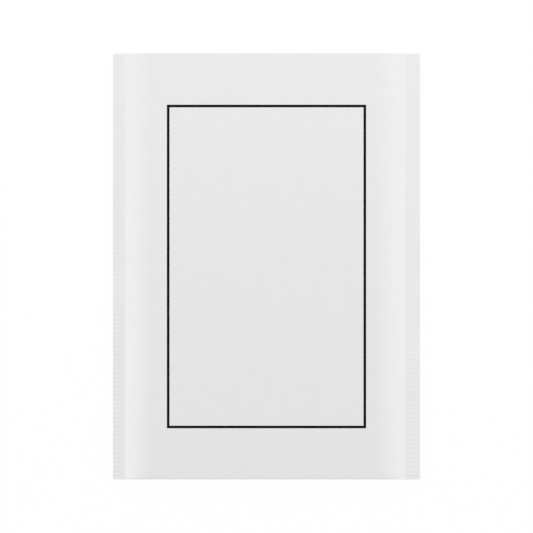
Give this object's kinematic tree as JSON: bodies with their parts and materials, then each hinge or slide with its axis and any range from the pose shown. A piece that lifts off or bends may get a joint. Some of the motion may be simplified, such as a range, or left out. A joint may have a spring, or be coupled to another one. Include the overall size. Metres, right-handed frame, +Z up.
{
  "type": "padded envelope",
  "caption": "White paper mailing envelope with crimped side seams, a bubble lining, a folded-back peel-and-seal flap and a thin black address frame.",
  "frame": {"origin": "on the table, under the middle of the envelope as it lies on its back", "axes": "+X across the envelope, to the right as the address side is read; +Y along it, from the folded bottom to the flap's crease; +Z up, out of the address side"},
  "size_m": [0.2, 0.2776, 0.0069],
  "materials": {
    "white_paper": "matte uncoated white paper",
    "bubble_film": "translucent air-bubble film",
    "adhesive": "pale tacky hot-melt glue",
    "peel_paper": "smooth coated release paper",
    "black_ink": "matte black printing ink on paper"
  },
  "bodies": {
    "root": {"outer_envelope": "white_paper", "bubble_pouch": "bubble_film", "adhesive_strip": "adhesive", "peel_strip": "peel_paper", "printed_frame": "black_ink"}
  },
  "joints": []
}
